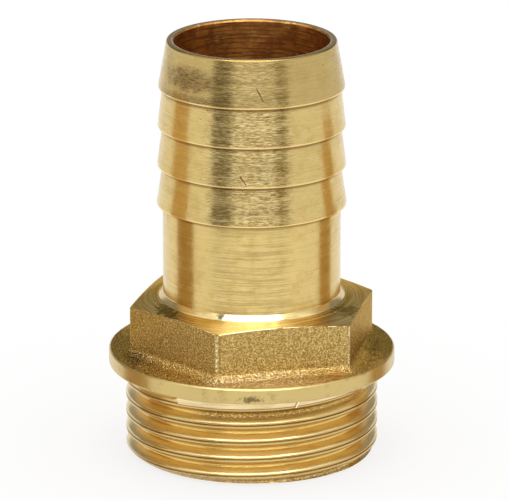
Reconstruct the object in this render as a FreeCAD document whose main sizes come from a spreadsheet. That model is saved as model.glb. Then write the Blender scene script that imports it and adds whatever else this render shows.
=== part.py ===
import FreeCAD, Part
import os

import Sketcher

# Male hose tail in brass, one piece. It stands on the face of its threaded end, and +Z runs up
# the bore to the hose end. From the bottom: a parallel pipe thread for a one inch fitting, a thin
# round collar that seats the washer, a cast hexagon for the spanner, and a turned spigot with four
# sawtooth barbs for a hose of 25 mm bore.

# Driving dimensions, in millimetres and degrees
SIZES = {
    # Threaded end, a G1 parallel pipe thread
    "thread_major_diameter": 33.249,  # over the crests
    "thread_pitch": 2.309,  # eleven turns to the inch
    "thread_flank_angle": 27.5,  # each flank against a plane across the axis
    "thread_crest_width": 0.75,  # flat left on top of the crest
    "thread_root_width": 0.3,  # flat at the bottom of the groove
    "thread_length": 11.85,  # end face to the underside of the collar
    "thread_end_gap": 0.1,  # last of the groove to the underside of the collar
    "thread_end_angle": 144,  # where the groove stops, turned from the +X side
    "thread_start_depth": 0.8245,  # chamfer at the end face, in from the crests
    "thread_start_height": 0.9,  # the same chamfer, up from the end face
    # Collar
    "collar_overhang": 2.2255,  # past the crests, or past the hexagon's corners if they reach further
    "collar_thickness": 2.1,  # underside to top
    "collar_edge_break": 0.2,  # chamfer on both edges of the rim
    # Hexagon
    "hexagon_across_flats": 28.6,  # spanner size, as cast
    "hexagon_height": 7,  # top of the collar to the foot of the shank
    "hexagon_foot_radius": 1.1,  # fillet on the collar
    "crown_angle": 9,  # slope of the turned top face
    # Bore
    "bore_diameter": 20.3,  # right through
    "bore_nose_chamfer": 0.2,  # inner edge of the rim
    "bore_thread_chamfer": 1,  # inner edge of the threaded end
    # Shank, and the small cone that it grows from
    "shank_wall": 1.5,  # bore to the outside of the shank
    "shank_length": 11.93,  # top of the small cone to the ledge of the lowest barb
    "shoulder_width": 0.58,  # foot of the small cone, out from the shank
    "shoulder_height": 0.72,  # height of that cone
    # Barbs, the one at the nose with them
    "barb_count": 4,
    "barb_pitch": 5.22,  # ledge to ledge
    "barb_land": 0.2,  # short cylinder on each crest
    "barb_height": 0.76,  # lowest crest, out from the shank
    "barb_step": 0.085,  # how much less each crest stands out than the one below
    "nose_length": 6.3,  # ledge of the top barb to the rim
    "nose_wall": 0.95,  # bore to the outside of the rim
    "nose_edge_break": 0.15,  # chamfer on the outer edge of the rim
    # How far a cutting form runs past the metal
    "cutter_overrun": 0.1,
}

# Levels and radii that follow from them
DERIVED = {
    "collar_top": "thread_length + collar_thickness",
    "hexagon_top": "collar_top + hexagon_height",
    "shank_foot": "hexagon_top + shoulder_height",
    "first_ledge": "shank_foot + shank_length",
    "last_ledge": "first_ledge + (round(barb_count) - 1) * barb_pitch",
    "tail_top": "last_ledge + nose_length",
    "bore_radius": "bore_diameter / 2",
    "nose_radius": "bore_radius + nose_wall",
    "shank_radius": "bore_radius + shank_wall",
    "shoulder_radius": "shank_radius + shoulder_width",
    "lowest_crest": "shank_radius + barb_height",
    "thread_radius": "thread_major_diameter / 2",
    "start_radius": "thread_radius - thread_start_depth",
    "hexagon_reach": "hexagon_across_flats / 2 / cos(30)",
    "collar_radius": "max(thread_radius; hexagon_reach) + collar_overhang",
    # The crown's cutter, out to just past the hexagon's corners
    "cutter_reach": "hexagon_reach + cutter_overrun",
    "crown_drop": "(cutter_reach - shoulder_radius) * tan(crown_angle)",
    # The groove is a V with a flat root, as deep as its mouth and its flanks make it.
    "groove_width": "thread_pitch - thread_crest_width",
    "groove_depth": "(groove_width - thread_root_width) / 2 / tan(thread_flank_angle)",
    "groove_root": "thread_radius - groove_depth",
    "groove_rim": "thread_radius + cutter_overrun",
    "groove_mouth": "groove_width + 2 * cutter_overrun * tan(thread_flank_angle)",
    "groove_end": "thread_length - thread_end_gap - groove_width / 2",
    # Its turns stop at the end angle, and begin half a pitch or more below the end face.
    "turns_part": "thread_end_angle / 360",
    "turns_whole": "ceil(groove_end / thread_pitch + 0.5 - turns_part)",
    "groove_turns": "turns_whole + turns_part",
    "groove_start": "groove_end - groove_turns * thread_pitch",
}

doc = FreeCAD.newDocument("hose_tail")
sheet = doc.addObject("Spreadsheet::Sheet", "Sizes")
cells = {name: str(number) for name, number in SIZES.items()}
cells.update({name: "=" + formula for name, formula in DERIVED.items()})
for row, (name, content) in enumerate(cells.items(), 1):
    sheet.set(f"A{row}", name)
    sheet.set(f"B{row}", content)
    sheet.setAlias(f"B{row}", name)
doc.recompute()

tail = doc.addObject("PartDesign::Body", "HoseTail")
tail.Label = "hose_tail"


def amount(formula):
    """What a formula on the sizes comes to, as a plain number."""
    found = tail.evalExpression(formula)
    return float(getattr(found, "Value", found))


def new_sketch(name, role, level=None):
    """An empty sketch on one of the body's own planes, raised to a level."""
    plane = next(p for p in tail.Origin.OriginFeatures if p.Role == role)
    sketch = tail.newObject("Sketcher::SketchObject", name)
    sketch.AttachmentSupport = (plane, [""])
    sketch.MapMode = "FlatFace"
    if level:
        sketch.setExpression(".AttachmentOffset.Base.z", level)
    return sketch


def section(name, *corners):
    """A closed half section on the XZ plane. Each corner is a radius and a height, as formulas."""
    sketch = new_sketch(name, "XZ_Plane")
    places = [FreeCAD.Vector(amount(radius), amount(height), 0) for radius, height in corners]
    lines = [
        sketch.addGeometry(Part.LineSegment(start, end), False)
        for start, end in zip(places, places[1:] + places[:1])
    ]
    for line, (radius, height) in zip(lines, corners):
        sketch.addConstraint(Sketcher.Constraint("Coincident", line, 1, lines[line - 1], 2))
        for kind, formula, axis in (("DistanceX", radius, -2), ("DistanceY", height, -1)):
            if formula == "0":
                sketch.addConstraint(Sketcher.Constraint("PointOnObject", line, 1, axis))
                continue
            row = sketch.addConstraint(
                Sketcher.Constraint(kind, -1, 1, line, 1, amount(formula))
            )
            sketch.setExpression(f"Constraints[{row}]", formula)
    return sketch


def turned(kind, name, *corners):
    """A Revolution that adds metal all round the axis, or a Groove that cuts it."""
    feature = tail.newObject("PartDesign::" + kind, name)
    feature.Profile = section(name + "Section", *corners)
    feature.ReferenceAxis = (feature.Profile[0], ["V_Axis"])
    feature.Angle = 360
    return feature


def dressed(kind, name, formula, chosen):
    """A Fillet or a Chamfer on the edges of the body so far that chosen picks."""
    doc.recompute()
    base = tail.Tip
    names = [f"Edge{n}" for n, edge in enumerate(base.Shape.Edges, 1) if chosen(edge)]
    feature = tail.newObject("PartDesign::" + kind, name)
    feature.Base = (base, names)
    feature.setExpression("Radius" if kind == "Fillet" else "Size", formula)
    return feature


def at_level(edge, level):
    """Whether all of an edge lies at one height."""
    box = edge.BoundBox
    return max(abs(box.ZMin - level), abs(box.ZMax - level)) < 1e-4


def reach(edge):
    """How far the middle of an edge is from the axis."""
    middle = edge.valueAt((edge.FirstParameter + edge.LastParameter) / 2)
    return (middle.x ** 2 + middle.y ** 2) ** 0.5


def round_edge(radius, level):
    """Picks the full circle of that radius at that level."""
    return lambda edge: at_level(edge, amount(level)) and abs(reach(edge) - amount(radius)) < 1e-4


# The blank of the thread
turned(
    "Revolution",
    "ThreadBlank",
    ("0", "0"),
    ("Sizes.start_radius", "0"),
    ("Sizes.thread_radius", "Sizes.thread_start_height"),
    ("Sizes.thread_radius", "Sizes.thread_length"),
    ("0", "Sizes.thread_length"),
)

# The collar on it
turned(
    "Revolution",
    "Collar",
    ("0", "Sizes.thread_length"),
    ("Sizes.collar_radius", "Sizes.thread_length"),
    ("Sizes.collar_radius", "Sizes.collar_top"),
    ("0", "Sizes.collar_top"),
)

# The hexagon, drawn in a construction circle with one corner on the +X side
outline = new_sketch("HexagonOutline", "XY_Plane", "Sizes.collar_top")
reach_now = amount("Sizes.hexagon_reach")
circle = outline.addGeometry(
    Part.Circle(FreeCAD.Vector(), FreeCAD.Vector(0, 0, 1), reach_now), True
)
outline.addConstraint(Sketcher.Constraint("Coincident", circle, 3, -1, 1))
row = outline.addConstraint(Sketcher.Constraint("Radius", circle, reach_now))
outline.setExpression(f"Constraints[{row}]", "Sizes.hexagon_reach")
corners = [
    FreeCAD.Rotation(FreeCAD.Vector(0, 0, 1), 60 * n).multVec(FreeCAD.Vector(reach_now, 0, 0))
    for n in range(6)
]
sides = [
    outline.addGeometry(Part.LineSegment(start, end), False)
    for start, end in zip(corners, corners[1:] + corners[:1])
]
for n, side in enumerate(sides):
    outline.addConstraint(Sketcher.Constraint("Coincident", side, 1, sides[n - 1], 2))
    outline.addConstraint(Sketcher.Constraint("PointOnObject", side, 1, circle))
for side in sides[1:]:
    outline.addConstraint(Sketcher.Constraint("Equal", sides[0], side))
outline.addConstraint(Sketcher.Constraint("PointOnObject", sides[0], 1, -1))
hexagon = tail.newObject("PartDesign::Pad", "Hexagon")
hexagon.Profile = outline
hexagon.setExpression("Length", "Sizes.hexagon_height")

# Its top face is turned to a shallow cone, which cuts the corners lower than the flats.
turned(
    "Groove",
    "Crown",
    ("Sizes.shoulder_radius", "Sizes.hexagon_top"),
    ("Sizes.cutter_reach", "Sizes.hexagon_top - Sizes.crown_drop"),
    ("Sizes.cutter_reach", "Sizes.hexagon_top + Sizes.cutter_overrun"),
    ("Sizes.shoulder_radius", "Sizes.hexagon_top + Sizes.cutter_overrun"),
)
dressed(
    "Fillet",
    "HexagonFoot",
    "Sizes.hexagon_foot_radius",
    lambda edge: at_level(edge, amount("Sizes.collar_top"))
    and reach(edge) < amount("Sizes.hexagon_reach"),
)

# The plain shank, then the barbs up from it, the last of them the nose
turned(
    "Revolution",
    "Shank",
    ("0", "Sizes.hexagon_top"),
    ("Sizes.shoulder_radius", "Sizes.hexagon_top"),
    ("Sizes.shank_radius", "Sizes.shank_foot"),
    ("Sizes.shank_radius", "Sizes.first_ledge"),
    ("0", "Sizes.first_ledge"),
)
barb_count = round(amount("Sizes.barb_count"))
for n in range(barb_count):
    ledge = f"Sizes.first_ledge + {n} * Sizes.barb_pitch"
    crest = f"Sizes.lowest_crest - {n} * Sizes.barb_step"
    at_nose = n == barb_count - 1
    top = "Sizes.tail_top" if at_nose else f"Sizes.first_ledge + {n + 1} * Sizes.barb_pitch"
    neck = "Sizes.nose_radius" if at_nose else "Sizes.shank_radius"
    turned(
        "Revolution",
        f"Barb{n + 1}",
        ("0", ledge),
        (crest, ledge),
        (crest, ledge + " + Sizes.barb_land"),
        (neck, top),
        ("0", top),
    )

dressed(
    "Chamfer",
    "CollarEdges",
    "Sizes.collar_edge_break",
    lambda edge: round_edge("Sizes.collar_radius", "Sizes.thread_length")(edge)
    or round_edge("Sizes.collar_radius", "Sizes.collar_top")(edge),
)
dressed(
    "Chamfer",
    "NoseEdge",
    "Sizes.nose_edge_break",
    round_edge("Sizes.nose_radius", "Sizes.tail_top"),
)

# The bore, with a lead-in at each end
bore_circle = new_sketch("BoreCircle", "XY_Plane")
circle = bore_circle.addGeometry(
    Part.Circle(FreeCAD.Vector(), FreeCAD.Vector(0, 0, 1), amount("Sizes.bore_diameter") / 2), False
)
bore_circle.addConstraint(Sketcher.Constraint("Coincident", circle, 3, -1, 1))
row = bore_circle.addConstraint(
    Sketcher.Constraint("Diameter", circle, amount("Sizes.bore_diameter"))
)
bore_circle.setExpression(f"Constraints[{row}]", "Sizes.bore_diameter")
bore = tail.newObject("PartDesign::Pocket", "Bore")
bore.Profile = bore_circle
bore.Type = "ThroughAll"
bore.Reversed = True
dressed(
    "Chamfer",
    "BoreNoseEdge",
    "Sizes.bore_nose_chamfer",
    round_edge("Sizes.bore_radius", "Sizes.tail_top"),
)
dressed("Chamfer", "BoreThreadEdge", "Sizes.bore_thread_chamfer", round_edge("Sizes.bore_radius", "0"))

# The thread: one groove cut on a helix, right-handed, that runs in from below the end face and
# stops just under the collar. The rest of that turn is a plain band.
groove = tail.newObject("PartDesign::SubtractiveHelix", "ThreadGroove")
groove.Profile = section(
    "GrooveSection",
    ("Sizes.groove_root", "Sizes.groove_start - Sizes.thread_root_width / 2"),
    ("Sizes.groove_rim", "Sizes.groove_start - Sizes.groove_mouth / 2"),
    ("Sizes.groove_rim", "Sizes.groove_start + Sizes.groove_mouth / 2"),
    ("Sizes.groove_root", "Sizes.groove_start + Sizes.thread_root_width / 2"),
)
groove.ReferenceAxis = (groove.Profile[0], ["V_Axis"])
groove.Mode = "pitch-turns-angle"
groove.setExpression("Pitch", "Sizes.thread_pitch")
groove.setExpression("Turns", "Sizes.groove_turns")

doc.recompute()

for item in doc.Objects:
    if "Invalid" in item.State or "Error" in item.State:
        raise RuntimeError(f"{item.Label} did not recompute: {item.State}")
shape = tail.Shape
if shape.isNull() or not shape.isValid() or len(shape.Solids) != 1:
    raise RuntimeError("the hose tail is not one valid solid")

os.makedirs("parts", exist_ok=True)
shape.exportStep(f"parts/{tail.Label}.step")
print(f"{tail.Label}: {shape.Volume:.1f} mm3, {len(shape.Faces)} faces, {shape.BoundBox}")
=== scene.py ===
from math import atan2, cos, floor, hypot, pi, radians, sin, tan

import bmesh
import bpy
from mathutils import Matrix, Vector


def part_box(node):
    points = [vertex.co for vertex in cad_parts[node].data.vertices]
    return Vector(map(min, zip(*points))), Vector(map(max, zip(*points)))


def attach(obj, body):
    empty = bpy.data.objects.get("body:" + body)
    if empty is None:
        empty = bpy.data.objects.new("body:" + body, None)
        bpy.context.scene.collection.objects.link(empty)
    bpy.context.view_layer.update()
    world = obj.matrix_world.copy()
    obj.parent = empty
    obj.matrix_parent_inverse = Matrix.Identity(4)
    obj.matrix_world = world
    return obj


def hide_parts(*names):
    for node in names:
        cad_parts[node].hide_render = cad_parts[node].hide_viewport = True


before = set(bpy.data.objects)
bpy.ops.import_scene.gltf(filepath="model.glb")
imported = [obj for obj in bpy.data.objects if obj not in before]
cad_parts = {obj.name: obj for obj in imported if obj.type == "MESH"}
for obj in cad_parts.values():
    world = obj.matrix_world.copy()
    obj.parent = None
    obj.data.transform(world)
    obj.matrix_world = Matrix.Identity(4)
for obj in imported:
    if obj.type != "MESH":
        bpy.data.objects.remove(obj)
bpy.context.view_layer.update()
high_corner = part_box("hose_tail")[1]

# The bore. It runs straight through the brass and opens out a little at the threaded end. The
# boring tool left coarse rings in its wall. Its orange is a painted reflection of the brass mirroring
# itself, and the glints on the rings are painted highlights.
# Here and below, sizes are in millimetres until the finished mesh is scaled.
MM = 0.001
columns = 288
BORE, SPIGOT, CROWN, SKIN, RIM, THREAD = range(6)
rim_level = high_corner[2] / MM
rim_inner_edge = 0.2
bore_radius = 10.15
bore_lead_in = 1.0

bore_clean_painted_orange = (0.74, 0.37, 0.09)
bore_dirty = (0.42, 0.18, 0.045)
bore_ring_shadow = (0.3, 0.13, 0.04)
bore_glint = (1, 0.68, 0.26)


def spun(points, turn=2 * pi, steps=columns, rise=0.0, closed=True):
    """Joins the points by a line and spins it round the upright axis.

    The line turns by an angle in a number of steps, and climbs by the rise at each step.
    """
    mesh = bmesh.new()
    ends = [mesh.verts.new(point) for point in points]
    line = [mesh.edges.new(pair) for pair in zip(ends, ends[1:])]
    bmesh.ops.spin(
        mesh,
        geom=ends + line,
        cent=(0, 0, 0),
        axis=(0, 0, 1),
        dvec=(0, 0, rise),
        angle=turn,
        steps=steps,
        use_merge=closed,
    )
    return mesh


def ring(corners, finish):
    """Spins a section once round; each of its corners is a radius and a level."""
    mesh = spun([(radius, 0, level) for radius, level in corners])
    for face in mesh.faces:
        face.material_index = finish
    return mesh


def add_to(whole, part):
    """Moves a part's mesh into the whole and lets the part go."""
    held = bpy.data.meshes.new("part")
    part.to_mesh(held)
    part.free()
    whole.from_mesh(held)
    bpy.data.meshes.remove(held)


def connect(tree, inputs, values):
    """Joins each value to the input with its name, or sets it there if it is a constant."""
    for socket, value in values.items():
        if isinstance(value, bpy.types.NodeSocket):
            tree.links.new(value, inputs[socket])
        else:
            inputs[socket].default_value = value


def node(tree, kind, values=None, **settings):
    """Adds a node, sets its options and its inputs, and returns its outputs."""
    made = tree.nodes.new("ShaderNode" + kind)
    for name, value in settings.items():
        setattr(made, name, value)
    connect(tree, made.inputs, values or {})
    return made.outputs


def calc(tree, operation, *values):
    """One step of arithmetic."""
    return node(tree, "Math", dict(enumerate(values)), operation=operation)[0]


def times(tree, product, *others):
    """Values and masks multiplied by each other."""
    for other in others:
        product = calc(tree, "MULTIPLY", product, other)
    return product


def ramp(tree, value, low, high, to_low=0.0, to_high=1.0):
    """Maps a value smoothly from one range to another."""
    values = {"Value": value, "From Min": low, "From Max": high, "To Min": to_low, "To Max": to_high}
    return node(tree, "MapRange", values, interpolation_type="SMOOTHSTEP")["Result"]


def grows(tree, value, none, full, strength=1.0):
    """A mask that is gone where a value is under none, and at its strength where it is over full."""
    return ramp(tree, value, none, full, 0.0, strength)


def fades(tree, value, full, none, strength=1.0):
    """A mask that is at its strength where a value is under full, and gone where it is over none."""
    return ramp(tree, value, full, none, strength, 0.0)


def blend(tree, share, first, second):
    """Mixes two colours, each from another node or written as red, green and blue."""
    first, second = ((*paint, 1) if isinstance(paint, tuple) else paint for paint in (first, second))
    return node(tree, "Mix", {"Factor": share, 6: first, 7: second}, data_type="RGBA")[2]


def coat(tree, colour, paint, *masks):
    """Lays a paint over a colour where all of the masks are; a plain number thins it."""
    return blend(tree, times(tree, *masks), colour, paint)


def position(tree):
    """The place of a point on the part."""
    return node(tree, "TexCoord")["Object"]


def facing(tree):
    """The way that the surface faces."""
    return node(tree, "TexCoord")["Normal"]


def split(tree, vector):
    """The X, Y and Z of a vector."""
    return node(tree, "SeparateXYZ", {0: vector})[0:3]


def join(tree, x, y, z):
    """A vector from its X, Y and Z."""
    return node(tree, "CombineXYZ", {"X": x, "Y": y, "Z": z})[0]


def from_axis(tree, x, y):
    """The distance of a point from the part's axis."""
    return calc(tree, "SQRT", calc(tree, "ADD", times(tree, x, x), times(tree, y, y)))


def noise(tree, at, size, detail, roughness):
    """Noise with marks of about one size."""
    fineness = calc(tree, "DIVIDE", 1.0, size)
    values = {"Vector": at, "Scale": fineness, "Detail": detail, "Roughness": roughness}
    return node(tree, "TexNoise", values)[0]


def effect(name, inputs, outputs):
    """Starts a node group; its inputs are named values, and its outputs are names of values."""
    tree = bpy.data.node_groups.new(name, "ShaderNodeTree")
    for label, value in inputs.items():
        kind = "NodeSocketFloat" if isinstance(value, (int, float)) else "NodeSocketVector"
        tree.interface.new_socket(label, in_out="INPUT", socket_type=kind).default_value = value
    for label in outputs:
        tree.interface.new_socket(label, in_out="OUTPUT", socket_type="NodeSocketFloat")
    return tree, tree.nodes.new("NodeGroupInput").outputs, tree.nodes.new("NodeGroupOutput").inputs


def place(tree, group, values):
    """Places an effect in a material with its own values."""
    return node(tree, "Group", values, node_tree=group)


# Rings left by a turning tool: noise drawn out round the axis, and fine along the section.
rings, given, wanted = effect("turning_rings", {"Spacing": 0.2 * MM, "Stretch": 0.02}, ["Rings"])
x, y, z = split(rings, position(rings))
along = calc(rings, "SUBTRACT", z, from_axis(rings, x, y))
drawn = join(rings, times(rings, x, given["Stretch"]), times(rings, y, given["Stretch"]), along)
connect(rings, wanted, {"Rings": noise(rings, drawn, given["Spacing"], detail=3.0, roughness=0.6)})

# A film of dirt and handling, mottled at the scale of millimetres.
film, given, wanted = effect("film", {"Size": 2 * MM, "Low": 0.4, "High": 0.7}, ["Mask"])
mottle = noise(film, position(film), given["Size"], detail=5.0, roughness=0.65)
connect(film, wanted, {"Mask": ramp(film, mottle, given["Low"], given["High"])})


def tool_rings(tree, spacing, stretch):
    """Rings at a spacing in millimetres; a larger stretch breaks them into shorter marks."""
    return place(tree, rings, {"Spacing": spacing * MM, "Stretch": stretch})[0]


def dirty(tree, size, low, high):
    """The mask of a film of dirt with blotches of a size in millimetres."""
    return place(tree, film, {"Size": size * MM, "Low": low, "High": high})[0]


def bump(tree, height, depth, under=None):
    """Turns a height between 0 and 1 into a normal, over a depth in millimetres."""
    values = {"Height": height, "Distance": depth * MM, "Strength": 1.0}
    if under:
        values["Normal"] = under
    return node(tree, "Bump", values)[0]


finishes = []
quarter_turn = 0.25


def start_finish(name):
    """Starts one of the finishes of the brass and returns its node tree."""
    finish = bpy.data.materials.new(name)
    finish.use_nodes = True
    finishes.append(finish)
    return finish.node_tree


def end_finish(tree, colour, normal, roughness, anisotropy=0.0, edge_tint=(1, 1, 1)):
    """Joins a finish to its shader; the constants are set on the shader's own inputs."""
    values = {
        "Metallic": 1.0,
        "Base Color": colour,
        "Normal": normal,
        "Roughness": roughness,
        "Anisotropic": anisotropy,
        "Anisotropic Rotation": quarter_turn,
        "Specular Tint": (*edge_tint, 1),
    }
    connect(tree, tree.nodes["Principled BSDF"].inputs, values)


tail = bmesh.new()
bore_section = [
    (bore_radius + bore_lead_in, 0),
    (bore_radius, bore_lead_in),
    (bore_radius, rim_level - rim_inner_edge),
    (bore_radius + rim_inner_edge, rim_level),
]
add_to(tail, ring(bore_section, BORE))

tree = start_finish("bored_brass")
lines = tool_rings(tree, spacing=0.3, stretch=0.04)
scrapes = tool_rings(tree, spacing=0.16, stretch=0.09)
# The bore's orange is painted in as the brass's reflection of itself.
colour = blend(tree, dirty(tree, size=2, low=0.4, high=0.65), bore_clean_painted_orange, bore_dirty)
colour = coat(tree, colour, bore_ring_shadow, fades(tree, lines, full=0.38, none=0.52, strength=0.8))
colour = coat(tree, colour, bore_glint, grows(tree, scrapes, none=0.6, full=0.68, strength=0.8))
end_finish(tree, colour, bump(tree, scrapes, depth=0.03), roughness=0.3, anisotropy=0.5)

# The spigot. Four sawtooth barbs under a thin rim, on a plain shank with a small cone at its foot.
# It is turned with a fine tool, so lines run round it, and the barbs also have short dark ticks and
# bright ticks of painted glint, painted strongest on the front where the light falls. The barbs' edges
# carry a painted highlight and a painted copper reflection, and painted shade lies under their ledges.
rim_outer_edge = 0.15
rim_radius = 11.1
shank_radius = 11.65
shank_foot_level = 21.67
shoulder_radius = 12.23
hexagon_top_level = 20.95
barb_count = 4
barb_pitch = 5.22
barb_land = 0.2
lowest_ledge_level = 33.6
lowest_crest_radius = 12.41
crest_step = 0.085
# X of the surface's normal where the ticks and their painted glints are strongest, and where the painted
# highlight on the cone at the foot sits
front_normal_x = -0.24
lit_foot_normal_x = -0.19

spigot_clean = (0.745, 0.555, 0.215)
spigot_handled = (0.63, 0.445, 0.145)
tick_dark = (0.25, 0.16, 0.06)
tick_painted_glint = (1, 0.86, 0.5)
scrape_dark = (0.12, 0.08, 0.03)
line_dark = (0.33, 0.23, 0.08)
line_shade = (0.35, 0.24, 0.08)
top_barb_shade = (0.42, 0.29, 0.1)
tarnish_brown = (0.16, 0.09, 0.03)
ledge_painted_shade = (0.15, 0.09, 0.03)
ledge_painted_highlight = (0.95, 0.73, 0.33)
ledge_painted_reflection = (0.7, 0.36, 0.06)
pit_dark = (0.12, 0.07, 0.02)
scratch_dark = (0.14, 0.08, 0.03)
foot_painted_highlight = (0.95, 0.86, 0.65)
foot_grime = (0.1, 0.09, 0.04)
rim_face = (0.56, 0.38, 0.12)
rim_edge_shade = (0.2, 0.12, 0.03)
rim_lip_painted_highlight = (1, 0.88, 0.6)

spigot_section = [
    (bore_radius + rim_inner_edge, rim_level),
    (rim_radius - rim_outer_edge, rim_level),
    (rim_radius, rim_level - rim_outer_edge),
]
for barb in reversed(range(barb_count)):
    ledge = lowest_ledge_level + barb * barb_pitch
    crest = lowest_crest_radius - barb * crest_step
    spigot_section += [(crest, ledge + barb_land), (crest, ledge), (shank_radius, ledge)]
spigot_section += [(shank_radius, shank_foot_level), (shoulder_radius, hexagon_top_level)]
add_to(tail, ring(spigot_section, SPIGOT))


def vector_calc(tree, operation, *values):
    """One step of arithmetic on vectors; a length or a product comes out as a value."""
    made = node(tree, "VectorMath", dict(enumerate(values)), operation=operation)
    return made["Value" if operation in ("LENGTH", "DISTANCE", "DOT_PRODUCT") else "Vector"]


# A stain with a ragged edge round one place on the part.
ragged_reach = 4.0
middle_noise = 0.5
stain, given, wanted = effect(
    "stain",
    {"Centre": (0, 0, 0), "Size": (MM, MM, MM), "Ragged": 0.5, "Grain": 0.8 * MM},
    ["Mask"],
)
at = position(stain)
away = vector_calc(stain, "SUBTRACT", at, given["Centre"])
away = vector_calc(stain, "LENGTH", vector_calc(stain, "DIVIDE", away, given["Size"]))
uneven = noise(stain, at, given["Grain"], detail=4.0, roughness=0.65)
uneven = times(stain, calc(stain, "SUBTRACT", uneven, middle_noise), given["Ragged"], ragged_reach)
connect(stain, wanted, {"Mask": fades(stain, calc(stain, "ADD", away, uneven), full=0.4, none=1.2)})

# Pits and specks, here and there.
specks, given, wanted = effect("specks", {"Spacing": 0.6 * MM, "Share": 0.2, "Size": 0.2}, ["Mask"])
fineness = calc(specks, "DIVIDE", 1.0, given["Spacing"])
spots = node(specks, "TexVoronoi", {"Vector": position(specks), "Scale": fineness})
lot = node(specks, "SeparateColor", {0: spots["Color"]})[0]
chosen = calc(specks, "LESS_THAN", lot, given["Share"])
near = calc(specks, "LESS_THAN", spots["Distance"], given["Size"])
connect(specks, wanted, {"Mask": times(specks, chosen, near)})

# The barbs' edges: painted shade under each ledge, and above it a painted highlight on the edge with a
# painted copper reflection at its lip. The steps count barb pitches up from the lowest ledge; the marks
# end part of a pitch past the ledges.
steps_below = 0.3
steps_short = 0.4
step_margin = 0.01
ledge_painted_light, given, wanted = effect(
    "ledge_painted_light",
    {"Lowest": 30 * MM, "Pitch": 5 * MM, "Count": 4.0},
    ["Below", "Edge", "Lip"],
)
z = split(ledge_painted_light, position(ledge_painted_light))[2]
steps = calc(ledge_painted_light, "DIVIDE", calc(ledge_painted_light, "SUBTRACT", z, given["Lowest"]), given["Pitch"])
above = times(ledge_painted_light, calc(ledge_painted_light, "FRACT", steps), given["Pitch"])
below = calc(ledge_painted_light, "SUBTRACT", given["Pitch"], above)
last_step = calc(ledge_painted_light, "SUBTRACT", given["Count"], steps_short)
on_ledges = times(
    ledge_painted_light,
    calc(ledge_painted_light, "LESS_THAN", steps, last_step),
    calc(ledge_painted_light, "GREATER_THAN", steps, -steps_below),
)
on_lands = times(ledge_painted_light, on_ledges, calc(ledge_painted_light, "GREATER_THAN", steps, -step_margin))
ledge_masks = {
    "Below": times(ledge_painted_light, on_ledges, fades(ledge_painted_light, below, full=0.2 * MM, none=0.65 * MM)),
    "Edge": times(ledge_painted_light, on_lands, fades(ledge_painted_light, above, full=0.2 * MM, none=0.3 * MM)),
    "Lip": times(ledge_painted_light, on_lands, fades(ledge_painted_light, above, full=0.08 * MM, none=0.13 * MM)),
}
connect(ledge_painted_light, wanted, ledge_masks)

# A scratch: everything near the straight line between two points.
scratch, given, wanted = effect(
    "scratch",
    {"Start": (0, 0, 0), "End": (0, 0, MM), "Width": 0.1 * MM},
    ["Mask"],
)
way = vector_calc(scratch, "SUBTRACT", given["End"], given["Start"])
away = vector_calc(scratch, "SUBTRACT", position(scratch), given["Start"])
along = vector_calc(scratch, "DOT_PRODUCT", away, way)
whole_way = vector_calc(scratch, "DOT_PRODUCT", way, way)
share = node(scratch, "Clamp", {0: calc(scratch, "DIVIDE", along, whole_way)})[0]
foot = node(scratch, "VectorMath", {0: way, "Scale": share}, operation="SCALE")[0]
apart = calc(scratch, "DIVIDE", vector_calc(scratch, "DISTANCE", away, foot), given["Width"])
connect(scratch, wanted, {"Mask": fades(scratch, apart, full=0.5, none=1.0)})


def on_round(radius, angle, level):
    """A point at a radius in mm, an angle in degrees from the +X side, and a level in mm."""
    return (radius * cos(radians(angle)) * MM, radius * sin(radians(angle)) * MM, level * MM)


def smear(tree, at, size, ragged, grain=0.8):
    """The mask of a stain at a radius, angle and level, with its size and grain in millimetres."""
    values = {
        "Centre": on_round(*at),
        "Size": [side * MM for side in size],
        "Ragged": ragged,
        "Grain": grain * MM,
    }
    return place(tree, stain, values)[0]


def scored(tree, start, end, width):
    """The mask of a scratch between two points, each a radius, an angle and a level."""
    values = {"Start": on_round(*start), "End": on_round(*end), "Width": width * MM}
    return place(tree, scratch, values)[0]


def around(tree, normal_x, middle, full, none, strength, rest):
    """A mask round the upright line where a round surface's normal has a given X."""
    away = calc(tree, "ABSOLUTE", calc(tree, "SUBTRACT", normal_x, middle))
    return ramp(tree, away, full, none, strength, rest)


tree = start_finish("turned_brass")
x, y, level = split(tree, position(tree))
normal_x = split(tree, facing(tree))[0]
lines = tool_rings(tree, spacing=0.16, stretch=0.02)
wide_lines = tool_rings(tree, spacing=0.7, stretch=0.02)
ticks = tool_rings(tree, spacing=0.13, stretch=0.17)
scrapes = tool_rings(tree, spacing=0.14, stretch=0.1)
on_barbs = ramp(tree, level, low=33.4 * MM, high=33.7 * MM, to_low=0.15, to_high=1)
front = around(tree, normal_x, front_normal_x, full=0.3, none=0.5, strength=1, rest=0.12)
middle = times(tree, front, on_barbs)

colour = blend(tree, dirty(tree, size=2, low=0.45, high=0.75), spigot_clean, spigot_handled)
# Ticks and tool lines are painted strongest on the front, where the light falls; the bright ticks are
# painted glints.
colour = coat(tree, colour, tick_dark, middle, fades(tree, ticks, full=0.36, none=0.52, strength=0.75))
colour = coat(tree, colour, tick_painted_glint, middle, grows(tree, ticks, none=0.5, full=0.66, strength=0.8))
deep_scrapes = fades(tree, scrapes, full=0.32, none=0.42, strength=0.8)
colour = coat(tree, colour, scrape_dark, middle, deep_scrapes)
colour = coat(tree, colour, line_dark, front, fades(tree, lines, full=0.4, none=0.56, strength=0.36))
colour = coat(tree, colour, line_shade, fades(tree, lines, full=0.36, none=0.5, strength=0.15))

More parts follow.
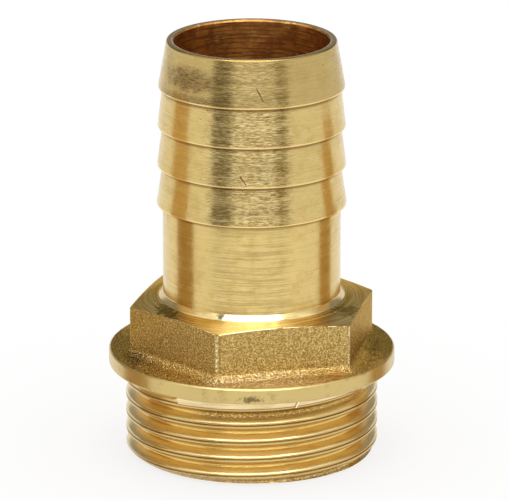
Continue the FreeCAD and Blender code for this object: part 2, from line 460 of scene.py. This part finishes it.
# The top barb is darker, and tarnished at the left.
top_barb = grows(tree, level, none=49.1 * MM, full=49.4 * MM, strength=0.42)
colour = coat(tree, colour, top_barb_shade, top_barb)
tarnish = smear(tree, at=(11.8, 212, 52.3), size=(5, 5, 1.8), ragged=0.35, grain=1)
low_tarnish = smear(tree, at=(12, 216, 49.6), size=(7, 7, 1.1), ragged=0.3, grain=0.8)
tarnish = calc(tree, "MAXIMUM", tarnish, times(tree, low_tarnish, 0.75))
patchy = ramp(tree, ticks, low=0.35, high=0.6, to_low=1, to_high=0.55)
colour = coat(tree, colour, tarnish_brown, tarnish, patchy, top_barb, 2.4)

ledge_values = {"Lowest": lowest_ledge_level * MM, "Pitch": barb_pitch * MM, "Count": barb_count}
edges = place(tree, ledge_painted_light, ledge_values)
# Painted shade under the ledges, a painted highlight on their edges and a painted copper reflection at
# their lips.
colour = coat(tree, colour, ledge_painted_shade, edges["Below"], 0.75)
colour = coat(tree, colour, ledge_painted_highlight, edges["Edge"])
colour = coat(tree, colour, ledge_painted_reflection, edges["Lip"])
pits = place(tree, specks, {"Spacing": 0.8 * MM, "Share": 0.1, "Size": 0.1})[0]
colour = coat(tree, colour, pit_dark, pits, on_barbs)
scratches = (
    ((11.75, 258.5, 52.2), (11.95, 263.5, 50.2), 0.1),
    ((12.0, 274, 48.5), (12.1, 277, 47.6), 0.09),
    ((12.25, 252.5, 39.4), (12.15, 249, 40.4), 0.1),
    ((12.25, 250.2, 39.2), (12.15, 247.5, 39.9), 0.08),
)
for start, end, width in scratches:
    colour = coat(tree, colour, scratch_dark, scored(tree, start, end, width))

# The small cone at the foot has a painted highlight where it catches the light, and a spot of grime.
on_foot = fades(tree, level, full=21.6 * MM, none=21.7 * MM)
lit = around(tree, normal_x, lit_foot_normal_x, full=0.2, none=0.27, strength=0.85, rest=0.1)
colour = coat(tree, colour, foot_painted_highlight, on_foot, lit)
grime = smear(tree, at=(11.95, 236.5, 21.4), size=(0.6, 0.6, 0.6), ragged=0.4, grain=0.3)
colour = coat(tree, colour, foot_grime, grime, on_foot)

# The rim's flat face, with painted shade on its outer edge and a painted highlight on its inner lip.
from_middle = from_axis(tree, x, y)
at_rim = grows(tree, level, none=(rim_level - 0.24) * MM, full=(rim_level - 0.16) * MM)
rim_edge = grows(tree, from_middle, none=10.88 * MM, full=10.96 * MM, strength=0.5)
rim_lip = fades(tree, from_middle, full=10.4 * MM, none=10.48 * MM)
colour = coat(tree, colour, rim_face, at_rim)
colour = coat(tree, colour, rim_edge_shade, at_rim, rim_edge)
colour = coat(tree, colour, rim_lip_painted_highlight, at_rim, rim_lip)
shine = ramp(tree, wide_lines, low=0.3, high=0.7, to_low=0.18, to_high=0.28)
tool_marks = bump(tree, times(tree, ticks, middle), depth=0.008, under=bump(tree, lines, depth=0.006))
end_finish(tree, colour, tool_marks, roughness=shine, anisotropy=0.5)

# The crown, the hexagon's top face. It is turned into a shallow cone, so the hexagon's top edges
# dip at its corners. It has a painted highlight at the front where it mirrors the light, and two of its
# corners are grimy.
half_flats = 14.3
crown_slope = tan(radians(9))
crown_rows = 6
nearly_ahead = 0.5
# Each corner's angle, and its angle from the middle of a flat beside it, in degrees. The casting's
# front right corner stands out more than the others.
corner_angles = ((0, 30), (60, 30), (120, 30), (180, 30), (240, 30), (303.75, 33.75))

crown_dark = (0.55, 0.38, 0.13)
crown_light = (0.95, 0.78, 0.42)
crown_grime = (0.12, 0.075, 0.03)
crown_painted_highlight = (0.95, 0.9, 0.72)
crown_edge_tint = (0.85, 0.62, 0.3)


def spread(first, last, count):
    """Count values after first, the last of them last."""
    return [first + (last - first) * n / count for n in range(1, count + 1)]


corners = []
for angle, from_flat in corner_angles:
    corner_reach = half_flats / cos(radians(from_flat))
    corners.append(Vector((corner_reach * cos(radians(angle)), corner_reach * sin(radians(angle)))))
flats = []
for start, end in zip(corners, corners[1:] + corners[:1]):
    outward = Vector((end.y - start.y, start.x - end.x)).normalized()
    flats.append((outward, start.dot(outward)))


def hexagon_reach(angle, outset):
    """Distance from the axis to the nearest of the hexagon's sides, each moved out by the outset."""
    way = Vector((cos(angle), sin(angle)))
    ahead = [(away, way.dot(outward)) for outward, away in flats]
    return min((away + outset) / share for away, share in ahead if share > nearly_ahead)


def crown_level(reach):
    """Height of the crown's cone at a distance from the axis."""
    return hexagon_top_level - (reach - shoulder_radius) * crown_slope


def polar(vert):
    """A vertex's distance from the axis and its angle round it."""
    return hypot(vert.co.x, vert.co.y), atan2(vert.co.y, vert.co.x)


crown_section = [(shoulder_radius, hexagon_top_level)]
for radius in spread(shoulder_radius, half_flats, crown_rows):
    crown_section.append((radius, hexagon_top_level))
crown = ring(crown_section, CROWN)
for vert in crown.verts:
    radius, angle = polar(vert)
    share = (radius - shoulder_radius) / (half_flats - shoulder_radius)
    reach = shoulder_radius + (hexagon_reach(angle, 0) - shoulder_radius) * share
    vert.co = (reach * cos(angle), reach * sin(angle), crown_level(reach))
add_to(tail, crown)

tree = start_finish("crown_brass")
lines = tool_rings(tree, spacing=0.3, stretch=0.02)
colour = blend(tree, ramp(tree, lines, low=0.35, high=0.65), crown_dark, crown_light)
grime = smear(tree, at=(13.3, 200, 20.7), size=(1.3, 3.8, 2), ragged=0.9)
colour = coat(tree, colour, crown_grime, grime, 0.75)
grime = smear(tree, at=(13.7, 319, 20.6), size=(2.2, 2, 2), ragged=1.0)
colour = coat(tree, colour, crown_grime, grime, 0.6)
# A painted highlight on the crown's front.
glint = smear(tree, at=(13.6, 256, 20.8), size=(6.5, 3.5, 2), ragged=0.1)
colour = coat(tree, colour, crown_painted_highlight, glint, 0.75)
tool_marks = bump(tree, lines, depth=0.03)
end_finish(tree, colour, tool_marks, roughness=0.25, anisotropy=0.5, edge_tint=crown_edge_tint)

# The hexagon's six sides and the collar's top, joined by a fillet. They stay as cast and blasted,
# so they have a fine even grain and no tool marks.
foot_radius = 1.1
foot_rows = 6
collar_top_level = 13.95
foot_top_level = collar_top_level + foot_radius
collar_radius = high_corner[1] / MM
collar_edge = 0.2
reach_margin = 0.1
# Each front corner's angle and its distance from the axis
ridges = ((240, 16.4), (303.75, 17.05))
ridge_levels = (15.2, 20)
ridge_shift = 1.6

skin_light = (0.7, 0.51, 0.19)
skin_dents = (0.37, 0.23, 0.065)
right_light = (0.66, 0.51, 0.27)
right_dents = (0.34, 0.24, 0.1)
shaded_light = (0.42, 0.3, 0.12)
shaded_dents = (0.03, 0.02, 0.006)
lit_light = (1, 1, 0.75)
lit_dents = (0.55, 0.4, 0.16)
ridge_painted_highlight = (1, 0.88, 0.55)
ridge_painted_shade = (0.2, 0.12, 0.04)
skin_edge_tint = (0.8, 0.6, 0.3)

side_section = [(half_flats, hexagon_top_level), (half_flats, foot_top_level)]
side_section += [
    (half_flats + foot_radius * (1 - cos(turn)), foot_top_level - foot_radius * sin(turn))
    for turn in spread(0, pi / 2, foot_rows)
]
side_section += [(collar_radius - collar_edge, collar_top_level)]
sides = ring(side_section, SKIN)
for vert in sides.verts:
    radius, angle = polar(vert)
    level = vert.co.z
    outside = radius - half_flats
    if outside > foot_radius + reach_margin:
        continue
    reach = hexagon_reach(angle, outside)
    if level > hexagon_top_level - reach_margin:
        level = crown_level(reach)
    vert.co = (reach * cos(angle), reach * sin(angle), level)
add_to(tail, sides)

# The blasted skin: small round dents, close together.
rough_share = 0.7
cell_share = 0.6
skin, given, wanted = effect("cast_grain", {"Grain": 0.3 * MM}, ["Height", "Dents"])
at = position(skin)
rough = noise(skin, at, given["Grain"], detail=2.0, roughness=0.6)
fineness = calc(skin, "DIVIDE", 1.0, given["Grain"])
cells = node(skin, "TexVoronoi", {"Vector": at, "Scale": fineness}, feature="SMOOTH_F1")["Distance"]
height = calc(skin, "ADD", times(skin, rough, rough_share), times(skin, cells, cell_share))
connect(skin, wanted, {"Height": height, "Dents": fades(skin, rough, full=0.42, none=0.62)})


def grainy(tree, size):
    """The blasted skin with dents of a size in millimetres."""
    return place(tree, skin, {"Grain": size * MM})


tree = start_finish("blasted_brass")
grain = grainy(tree, size=0.16)
coarse = grainy(tree, size=0.34)
normal_x, normal_y, normal_z = split(tree, facing(tree))
colour = blend(tree, grain["Dents"], skin_light, skin_dents)
right_side = blend(tree, coarse["Dents"], right_light, right_dents)
colour = coat(tree, colour, right_side, grows(tree, normal_x, none=0.7, full=0.8), 0.75)
shaded = blend(tree, grain["Dents"], shaded_light, shaded_dents)
for side_angle in (171, 350):
    shade = smear(tree, at=(17.5, side_angle, 14), size=(4.5, 12, 1), ragged=0.4, grain=1.5)
    colour = coat(tree, colour, shaded, shade, 0.95)
# The corners at the front carry a painted highlight along a raised ridge, each with a line of painted
# shade to its right.
for corner_angle, corner_reach in ridges:
    low, high = [(corner_reach, corner_angle, level) for level in ridge_levels]
    beside_low, beside_high = [(corner_reach, corner_angle + ridge_shift, level) for level in ridge_levels]
    broken = ramp(tree, coarse["Dents"], low=0.2, high=0.8, to_low=0.8, to_high=0.1)
    colour = coat(tree, colour, ridge_painted_highlight, scored(tree, low, high, width=0.2), broken)
    colour = coat(tree, colour, ridge_painted_shade, scored(tree, beside_low, beside_high, width=0.22), 0.4)
# A painted highlight on the collar's top at the front, with the grain showing through it.
lit_skin = blend(tree, grain["Dents"], lit_light, lit_dents)
lit = smear(tree, at=(19, 256, 13.9), size=(12, 5.5, 1.2), ragged=0.2)
colour = coat(tree, colour, lit_skin, lit, 0.75)
upwards = ramp(tree, normal_z, low=0.2, high=0.7, to_low=0.5, to_high=1)
dents = bump(tree, times(tree, grain["Height"], upwards), depth=0.24)
end_finish(tree, colour, dents, roughness=0.27, edge_tint=skin_edge_tint)

# The collar's rim and underside. They are turned smooth, with a small edge above and below. Then
# the hexagon's corners are rounded, and every crisp edge so far gets a small round of its own.
collar_underside_level = 11.85
thread_radius = 16.6245
seat_width = 0.35
corner_fold = radians(15)
corner_width = 0.35
crisp_fold = radians(32)
crisp_width = 0.09
same_angle = 1e-3
same_place = 1e-3

rim_clean = (0.66, 0.5, 0.2)
rim_dirty = (0.42, 0.3, 0.1)
rim_grime = (0.1, 0.08, 0.04)

rim_section = [
    (collar_radius - collar_edge, collar_top_level),
    (collar_radius, collar_top_level - collar_edge),
    (collar_radius, collar_underside_level + collar_edge),
    (collar_radius - collar_edge, collar_underside_level),
    (thread_radius + seat_width, collar_underside_level),
]
add_to(tail, ring(rim_section, RIM))
bmesh.ops.remove_doubles(tail, verts=tail.verts[:], dist=same_place)


def soften(edges, width):
    """Gives edges a small round."""
    bmesh.ops.bevel(
        tail,
        geom=edges,
        offset=width,
        offset_type="OFFSET",
        affect="EDGES",
        segments=3,
        profile=0.5,
        material=-1,
        clamp_overlap=True,
    )


def is_hexagon_corner(edge):
    """True for an upright edge where two of the hexagon's sides meet."""
    if not edge.is_manifold or edge.calc_face_angle() <= corner_fold:
        return False
    if any(face.material_index != SKIN or len(face.verts) != 4 for face in edge.link_faces):
        return False
    first, second = [polar(vert)[1] for vert in edge.verts]
    return abs(first - second) < same_angle


soften([edge for edge in tail.edges if is_hexagon_corner(edge)], corner_width)
crisp = [edge for edge in tail.edges if edge.is_manifold and edge.calc_face_angle() > crisp_fold]
soften(crisp, crisp_width)

tree = start_finish("rim_brass")
lines = tool_rings(tree, spacing=0.2, stretch=0.04)
colour = blend(tree, dirty(tree, size=1.5, low=0.5, high=0.8), rim_clean, rim_dirty)
grime = smear(tree, at=(18.9, 256, 12.6), size=(1.6, 1, 0.45), ragged=0.8, grain=0.5)
colour = coat(tree, colour, rim_grime, grime, 0.8)
end_finish(tree, colour, bump(tree, lines, depth=0.004), roughness=0.3, anisotropy=0.4)

# The thread. A right-handed groove cut on the helix of a one inch parallel pipe thread. It runs in
# at the chamfered end and stops under the collar, where the rest of the turn is a plain band. The
# last turn before the stop is cut less deep and stands a little higher.
pitch = 2.309
crest_width = 0.75
flank_slope = tan(radians(27.5))
groove_half = (pitch - crest_width) / 2
groove_end_depth = 0.4
groove_end_level = collar_underside_level - groove_end_depth
groove_end_angle = radians(219)
whole_turns = 5
groove_turns = whole_turns + groove_end_angle / (2 * pi)
groove_start_level = groove_end_level - groove_turns * pitch
spun_turns = 7
start_radius = 15.8
start_chamfer_height = 0.9
# From the middle of one groove up to the middle of the next, with heights over the crests: round
# root, flank that faces down, lower lip of the crest, seam, rounded upper lip, flank that faces up
root_bottom = -1.13
tooth = [
    (0, root_bottom),
    (0.12, -1.107),
    (0.22, -1.04),
    (0.29, -0.945),
    (groove_half - 0.1, -0.1 / flank_slope),
    (groove_half - 0.03, -0.05),
    (groove_half + 0.03, -0.005),
    (groove_half + 0.1, 0),
    (groove_half + 0.2, 0),
    (groove_half + 0.28, -0.02),
    (groove_half + 0.34, -0.09),
    (groove_half + 0.4, -0.1),
    (groove_half + 0.45, -0.03),
    (groove_half + 0.51, 0),
    (groove_half + 0.58, 0),
    (groove_half + 0.65, -0.025),
    (groove_half + 0.72, -0.07),
    (groove_half + 0.79, -0.14),
    (groove_half + 0.86, -0.235),
    (groove_half + 0.95, -0.385),
    (groove_half + 1.05, -0.565),
    (pitch - 0.29, -0.945),
    (pitch - 0.22, -1.04),
    (pitch - 0.12, -1.107),
]
lip_start = groove_half + 0.09
lip_end = groove_half + 0.25
# The last turn is filled by a share of its depth, and its upper flank is lifted
last_turn_fill = 0.25
last_turn_lift = 0.1
# In turns: how far before its end the groove takes on the last turn's form, and how far before and
# after its end it runs out
last_turn_start = 1.02
last_turn_full = 0.95
stop_before = 0.008
stop_after = 0.004
same_thread_place = 0.002
cut_margin = 1e-5

# Colours of the thread, with painted highlights and painted shade lines along its crests and flanks, by
# the share of the way from one groove's middle to the next
thread_shade_and_highlight_bands = [
    (0.0, (0.79, 0.55, 0.17)),
    (0.12, (0.75, 0.49, 0.14)),
    (0.28, (0.52, 0.31, 0.07)),
    (0.335, (0.21, 0.12, 0.03)),
    (0.36, (0.52, 0.37, 0.14)),
    (0.4, (0.73, 0.57, 0.26)),
    (0.45, (0.56, 0.41, 0.16)),
    (0.485, (0.28, 0.14, 0.03)),
    (0.515, (0.17, 0.07, 0.01)),
    (0.55, (0.52, 0.31, 0.07)),
    (0.6, (0.69, 0.47, 0.15)),
    (0.64, (0.79, 0.63, 0.33)),
    (0.72, (0.83, 0.67, 0.34)),
    (0.84, (0.86, 0.68, 0.33)),
    (0.93, (0.83, 0.59, 0.2)),
]
root_starts_at = 0.9
root_ends_at = 0.345
band_starts_past_end = 0.005
thread_line = (0.55, 0.36, 0.11)
band_dark = (0.72, 0.53, 0.25)
band_light = (0.95, 0.78, 0.44)
root_dark = (0.3, 0.17, 0.05)
end_soot = (0.26, 0.14, 0.04)
end_painted_sparkle = (1, 0.84, 0.48)
faced_dark = (0.6, 0.42, 0.15)
faced_light = (0.85, 0.66, 0.31)
nick_top = (16.63, 276.9, 11.3)
nick_foot = (16.63, 274.6, 10)
nick_shade = (0.6, 0.3, 0.05)
nick_painted_highlight = (1, 0.92, 0.7)


def tooth_height(offset):
    """Height over the major radius at an offset up from the middle of the nearest groove."""
    offset = offset % pitch
    for (before, height_before), (after, height_after) in zip(tooth, tooth[1:] + [(pitch, root_bottom)]):
        if offset <= after:
            return height_before + (height_after - height_before) * (offset - before) / (after - before)
    return root_bottom


def step(value, low, high):
    """Rises smoothly from 0 at low to 1 at high."""
    share = min(max((value - low) / (high - low), 0), 1)
    return share * share * (3 - 2 * share)


rows = [offset for offset, height in tooth] + [pitch]
first_row_level = groove_start_level - pitch
thread_line_points = [(thread_radius, 0, first_row_level + row) for row in rows]
thread = spun(thread_line_points, rise=pitch / columns, closed=False)
for face in thread.faces:
    face.material_index = THREAD
one_turn = thread.verts[:] + thread.edges[:] + thread.faces[:]
for turn in range(1, spun_turns):
    copied = bmesh.ops.duplicate(thread, geom=one_turn)
    moved = [item for item in copied["geom"] if isinstance(item, bmesh.types.BMVert)]
    bmesh.ops.translate(thread, vec=(0, 0, turn * pitch), verts=moved)
bmesh.ops.remove_doubles(thread, verts=thread.verts[:], dist=same_thread_place)
for vert in thread.verts:
    angle = polar(vert)[1] % (2 * pi)
    height = vert.co.z - groove_start_level
    turns = floor(height / pitch - angle / (2 * pi) + 0.5) + angle / (2 * pi)
    offset = height - turns * pitch
    nearest = turns if offset < lip_start else turns + 1
    cut = 1 - step(nearest, groove_turns - stop_before, groove_turns + stop_after)
    late = step(turns, groove_turns - last_turn_start, groove_turns - last_turn_full) * cut
    late *= 1 - step(offset, lip_start, lip_end)
    radius = thread_radius + tooth_height(offset) * cut * (1 - last_turn_fill * late)
    vert.co.z += late * last_turn_lift * max(offset + groove_half, 0)
    chamfer = start_radius + vert.co.z * (thread_radius - start_radius) / start_chamfer_height
    radius = min(radius, max(chamfer, start_radius))
    vert.co.x, vert.co.y = radius * cos(angle), radius * sin(angle)
for level, keep_above in ((0, True), (collar_underside_level, False)):
    bmesh.ops.bisect_plane(
        thread,
        geom=thread.verts[:] + thread.edges[:] + thread.faces[:],
        plane_co=(0, 0, level),
        plane_no=(0, 0, 1),
        dist=cut_margin,
        clear_inner=keep_above,
        clear_outer=not keep_above,
    )
add_to(tail, thread)

# Where a point lies on the thread: its place between one groove's middle and the next, the number
# of the turn of the groove nearest to it, and fine lines drawn out along the helix.
line_stretch = 0.04
line_drift = 0.05
helix, given, wanted = effect(
    "helix",
    {"Pitch": 2 * MM, "Start": 0.0, "Spacing": 0.2 * MM},
    ["Phase", "Turn", "Lines"],
)
x, y, z = split(helix, position(helix))
climb = calc(helix, "DIVIDE", calc(helix, "SUBTRACT", z, given["Start"]), given["Pitch"])
turned = calc(helix, "DIVIDE", calc(helix, "ARCTAN2", y, x), 2 * pi)
phase = calc(helix, "FRACT", calc(helix, "SUBTRACT", climb, turned))
past_middle = calc(helix, "GREATER_THAN", phase, 0.5)
nearest = calc(helix, "SUBTRACT", climb, calc(helix, "SUBTRACT", phase, past_middle))
across = calc(helix, "ADD", times(helix, phase, given["Pitch"]), times(helix, z, line_drift))
drawn = join(helix, times(helix, x, line_stretch), times(helix, y, line_stretch), across)
lines = noise(helix, drawn, given["Spacing"], detail=3.0, roughness=0.6)
connect(helix, wanted, {"Phase": phase, "Turn": nearest, "Lines": lines})


def bands(tree, value, stops):
    """Colours by value, from a list of values with their colours."""
    made = tree.nodes.new("ShaderNodeValToRGB")
    elements = made.color_ramp.elements
    elements.remove(elements[1])
    for number, (start, colour) in enumerate(stops):
        element = elements[0] if number == 0 else elements.new(start)
        element.position = start
        element.color = (*colour, 1)
    tree.links.new(value, made.inputs[0])
    return made.outputs[0]


tree = start_finish("threaded_brass")
helix_values = {"Pitch": pitch * MM, "Start": groove_start_level * MM, "Spacing": 0.14 * MM}
phase, turn, lines = place(tree, helix, helix_values)[0:3]
height = split(tree, position(tree))[2]
upright = calc(tree, "ABSOLUTE", split(tree, facing(tree))[2])
grain = grainy(tree, size=0.2)
colour = bands(tree, phase, thread_shade_and_highlight_bands)
colour = coat(tree, colour, thread_line, fades(tree, lines, full=0.3, none=0.5, strength=0.5))

# The plain band beyond the groove's end, and the grainy root of the last turn before it.
plain = calc(tree, "GREATER_THAN", turn, groove_turns + band_starts_past_end)
band = blend(tree, ramp(tree, lines, low=0.3, high=0.6), band_dark, band_light)
colour = coat(tree, colour, band, plain)
in_root = calc(
    tree,
    "MAXIMUM",
    calc(tree, "LESS_THAN", phase, root_ends_at),
    calc(tree, "GREATER_THAN", phase, root_starts_at),
)
last_turn = grows(tree, turn, none=groove_turns - 0.99, full=groove_turns - 0.94)
roughest, smoothest = groove_turns - 0.85, groove_turns - 0.7
smoother = ramp(tree, turn, low=roughest, high=smoothest, to_low=1, to_high=0.15)
rough = times(tree, last_turn, in_root, smoother)
root_grain = ramp(tree, grain["Dents"], low=0.0, high=0.8, to_low=0.1, to_high=0.8)
colour = coat(tree, colour, root_dark, rough, root_grain)

# The chamfered end is sooty, with painted sparkles of highlight in spots, and its flat face is turned.
near_end = fades(tree, height, full=0.5 * MM, none=1.4 * MM, strength=0.85)
sooty = ramp(tree, grain["Dents"], low=0.0, high=0.8, to_low=0.05, to_high=0.75)
painted_sparkle_mask = fades(tree, grain["Dents"], full=0.0, none=0.3, strength=0.6)
colour = coat(tree, colour, end_soot, near_end, sooty)
colour = coat(tree, colour, end_painted_sparkle, near_end, painted_sparkle_mask)
faced = blend(tree, tool_rings(tree, spacing=0.2, stretch=0.04), faced_dark, faced_light)
colour = coat(tree, colour, faced, grows(tree, upright, none=0.93, full=0.98))

# A nick on the plain band: painted shade along it, with a painted highlight beside it.
for shift, paint in ((0, nick_shade), (0.9, nick_painted_highlight)):
    start, end = [(radius, angle + shift, level) for radius, angle, level in (nick_top, nick_foot)]
    colour = coat(tree, colour, paint, scored(tree, start, end, width=0.13))
not_faced = fades(tree, upright, full=0.93, none=0.98)
fine = bump(tree, times(tree, lines, not_faced), depth=0.012)
tool_marks = bump(tree, times(tree, grain["Height"], rough, not_faced), depth=0.15, under=fine)
end_finish(tree, colour, tool_marks, roughness=0.26, anisotropy=0.7)

# The whole hose tail is one piece of brass. The flat rings between the thread and the collar, and
# between the thread and the bore, close it; each is filled in from its two open circles.
edge_shade_fold = radians(35)
flat_enough = 0.999
for level in (0, collar_underside_level):
    rims = [
        edge
        for edge in tail.edges
        if edge.is_boundary and all(abs(vert.co.z - level) < same_place for vert in edge.verts)
    ]
    filled = bmesh.ops.triangle_fill(tail, edges=rims, use_beauty=True)
    for face in filled["geom"]:
        if isinstance(face, bmesh.types.BMFace):
            face.material_index = THREAD
bmesh.ops.recalc_face_normals(tail, faces=tail.faces[:])
bmesh.ops.scale(tail, vec=(MM, MM, MM), verts=tail.verts[:])
shape = bpy.data.meshes.new("hose_tail_body")
tail.to_mesh(shape)
tail.free()
for face in shape.polygons:
    face.use_smooth = face.material_index != THREAD or abs(face.normal.z) < flat_enough
shape.set_sharp_from_angle(angle=edge_shade_fold)
for finish in finishes:
    shape.materials.append(finish)
body = bpy.data.objects.new("hose_tail_body", shape)
bpy.context.scene.collection.objects.link(body)
even = body.modifiers.new("even_normals", "WEIGHTED_NORMAL")
even.keep_sharp = True
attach(body, "root")
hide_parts("hose_tail")

# The camera. It stands a little to the left of the hexagon's front flat and looks down on it. All
# of its lengths are in metres.
camera_azimuth = radians(-14)
camera_elevation = radians(16.85)
camera_distance = 0.648
pixels_per_metre = 7620
picture_width = 508
axis_left_of_middle = 2.27 / pixels_per_metre
aim_level = 0.02698
back = Vector(
    (
        sin(camera_azimuth) * cos(camera_elevation),
        -cos(camera_azimuth) * cos(camera_elevation),
        sin(camera_elevation),
    )
)
right = Vector((cos(camera_azimuth), sin(camera_azimuth), 0))
lens = bpy.data.cameras.new("camera")
lens.sensor_width = 36
lens.lens = pixels_per_metre * camera_distance / picture_width * lens.sensor_width
camera = bpy.data.objects.new("camera", lens)
bpy.context.scene.collection.objects.link(camera)
camera.location = Vector((0, 0, aim_level)) + right * axis_left_of_middle + back * camera_distance
camera.rotation_euler = back.to_track_quat("Z", "Y").to_euler()
bpy.context.scene.camera = camera

# The studio. A white table under a white backdrop, softboxes to the left, right and above, and
# boards round the camera. The boards are seen only in the metal.
board_steps = 12
table_radius = 0.4
table_sides = 64
table_grey = (0.26, 0.26, 0.26, 1)
table_glow = 0.745
room = 0.25
white = (1, 1, 1)
warm_room = (1, 0.88, 0.66)
dim_amber = (1, 0.88, 0.62)
left_brown = (0.44, 0.28, 0.11)
left_amber = (0.66, 0.46, 0.22)
right_brown = (0.48, 0.3, 0.1)
right_amber = (0.62, 0.42, 0.18)


def glow(piece, colour, strength):
    """Gives a piece of the studio its own even light."""
    paint = bpy.data.materials.new(piece.name)
    paint.use_nodes = True
    paint.node_tree.nodes.clear()
    light = node(paint.node_tree, "Emission", {"Color": (*colour, 1), "Strength": strength})[0]
    node(paint.node_tree, "OutputMaterial", {"Surface": light})
    piece.data.materials.append(paint)


def board(name, left, right_side, foot, top, colour=white, strength=1.0):
    """A curved board round the object, between two angles from the camera's direction in degrees.

    Its foot and its top are each a distance from the axis and a height, in metres.
    """
    start = camera_azimuth + radians(left) - pi / 2
    ends = [(distance * cos(start), distance * sin(start), height) for distance, height in (foot, top)]
    mesh = spun(ends, turn=radians(right_side - left), steps=board_steps, closed=False)
    data = bpy.data.meshes.new(name)
    mesh.to_mesh(data)
    mesh.free()
    piece = bpy.data.objects.new(name, data)
    bpy.context.scene.collection.objects.link(piece)
    piece.visible_camera = False
    piece.visible_diffuse = False
    piece.visible_shadow = False
    glow(piece, colour, strength)


board("backdrop", 118, 250, foot=(0.5, 0.1), top=(0.5, 0.4), strength=0.3)
board("low_backdrop", 118, 250, foot=(0.5, 0), top=(0.5, 0.1))
board("left_softbox", -110, -49, foot=(0.4, 0), top=(0.4, 0.35), strength=0.92)
board("right_softbox", 45, 118, foot=(0.4, 0), top=(0.4, 0.35), strength=0.85)
board("front_board", -24, 29, foot=(0.4, 0), top=(0.4, 0.19), strength=0.8)
board("high_fill", -60, 60, foot=(0.4, 0.22), top=(0.28, 0.35), strength=1.8)
board("high_softbox", -40, 36, foot=(0.24, 0.36), top=(0.1, 0.45), strength=3.0)
board("overhead", 0, 360, foot=(0.1, 0.45), top=(0.001, 0.46), strength=4.5)
board("right_dim_board", 29, 45, foot=(0.41, 0), top=(0.41, 0.35), colour=dim_amber, strength=0.42)
board("left_dark_flag", -49, -26, foot=(0.2, 0.001), top=(0.4, 0.001), strength=0.2)
board("right_dark_flag", 32, 43, foot=(0.2, 0.001), top=(0.4, 0.001), strength=0.4)
board("front_floor_board", -40, 60, foot=(0.07, 0.001), top=(0.19, 0.001), strength=1.06)
board("hot_softbox", -52, 52, foot=(0.27, 0.36), top=(0.2, 0.42), strength=9.0)
board("left_high_fill", -125, -52, foot=(0.38, 0.35), top=(0.2, 0.42), strength=1.3)
board("right_high_fill", 52, 125, foot=(0.38, 0.35), top=(0.2, 0.42), strength=1.3)
board("crown_light", -36, 38, foot=(0.37, 0.23), top=(0.35, 0.275), strength=4.0)
board("low_fill", -34, 40, foot=(0.4, 0.2), top=(0.34, 0.3), strength=1.3)
board("left_brown_board", -97, -69, foot=(0.036, 0), top=(0.036, 0.03), colour=left_brown)
board("left_amber_board", -97, -72, foot=(0.036, 0.03), top=(0.036, 0.0485), colour=left_amber)
board("right_brown_board", 84, 107, foot=(0.036, 0), top=(0.036, 0.03), colour=right_brown)
board("right_amber_board", 84, 101, foot=(0.036, 0.03), top=(0.036, 0.0435), colour=right_amber)

floor_mesh = bpy.data.meshes.new("floor")
plane = bmesh.new()
bmesh.ops.create_circle(plane, cap_ends=True, segments=table_sides, radius=table_radius)
plane.to_mesh(floor_mesh)
plane.free()
floor_piece = bpy.data.objects.new("floor", floor_mesh)
bpy.context.scene.collection.objects.link(floor_piece)
# The table keeps the object's shadow, and the camera and the metal see it nearly white.
table = bpy.data.materials.new("white_table")
table.use_nodes = True
tree = table.node_tree
tree.nodes.clear()
floor_mesh.materials.append(table)
path = node(tree, "LightPath")
seen = calc(tree, "MAXIMUM", path["Is Camera Ray"], path["Is Glossy Ray"])
seen = calc(tree, "MAXIMUM", seen, path["Is Transmission Ray"])
matt = node(tree, "BsdfDiffuse", {"Color": table_grey})[0]
own = node(tree, "Emission", {"Color": (*white, 1), "Strength": times(tree, seen, table_glow)})[0]
node(tree, "OutputMaterial", {"Surface": node(tree, "AddShader", {0: matt, 1: own})[0]})

# The room is white to the camera and dim and warm in the metal.
world = bpy.data.worlds.new("studio")
bpy.context.scene.world = world
world.use_nodes = True
sky = world.node_tree
sky.nodes.clear()
path = node(sky, "LightPath")
level = ramp(sky, path["Is Glossy Ray"], low=0.0, high=1.0, to_low=1.0, to_high=room)
tint = blend(sky, path["Is Glossy Ray"], white, warm_room)
light = node(sky, "Background", {"Color": tint, "Strength": level})[0]
node(sky, "OutputWorld", {"Surface": light})

bpy.context.scene.view_settings.view_transform = "Standard"
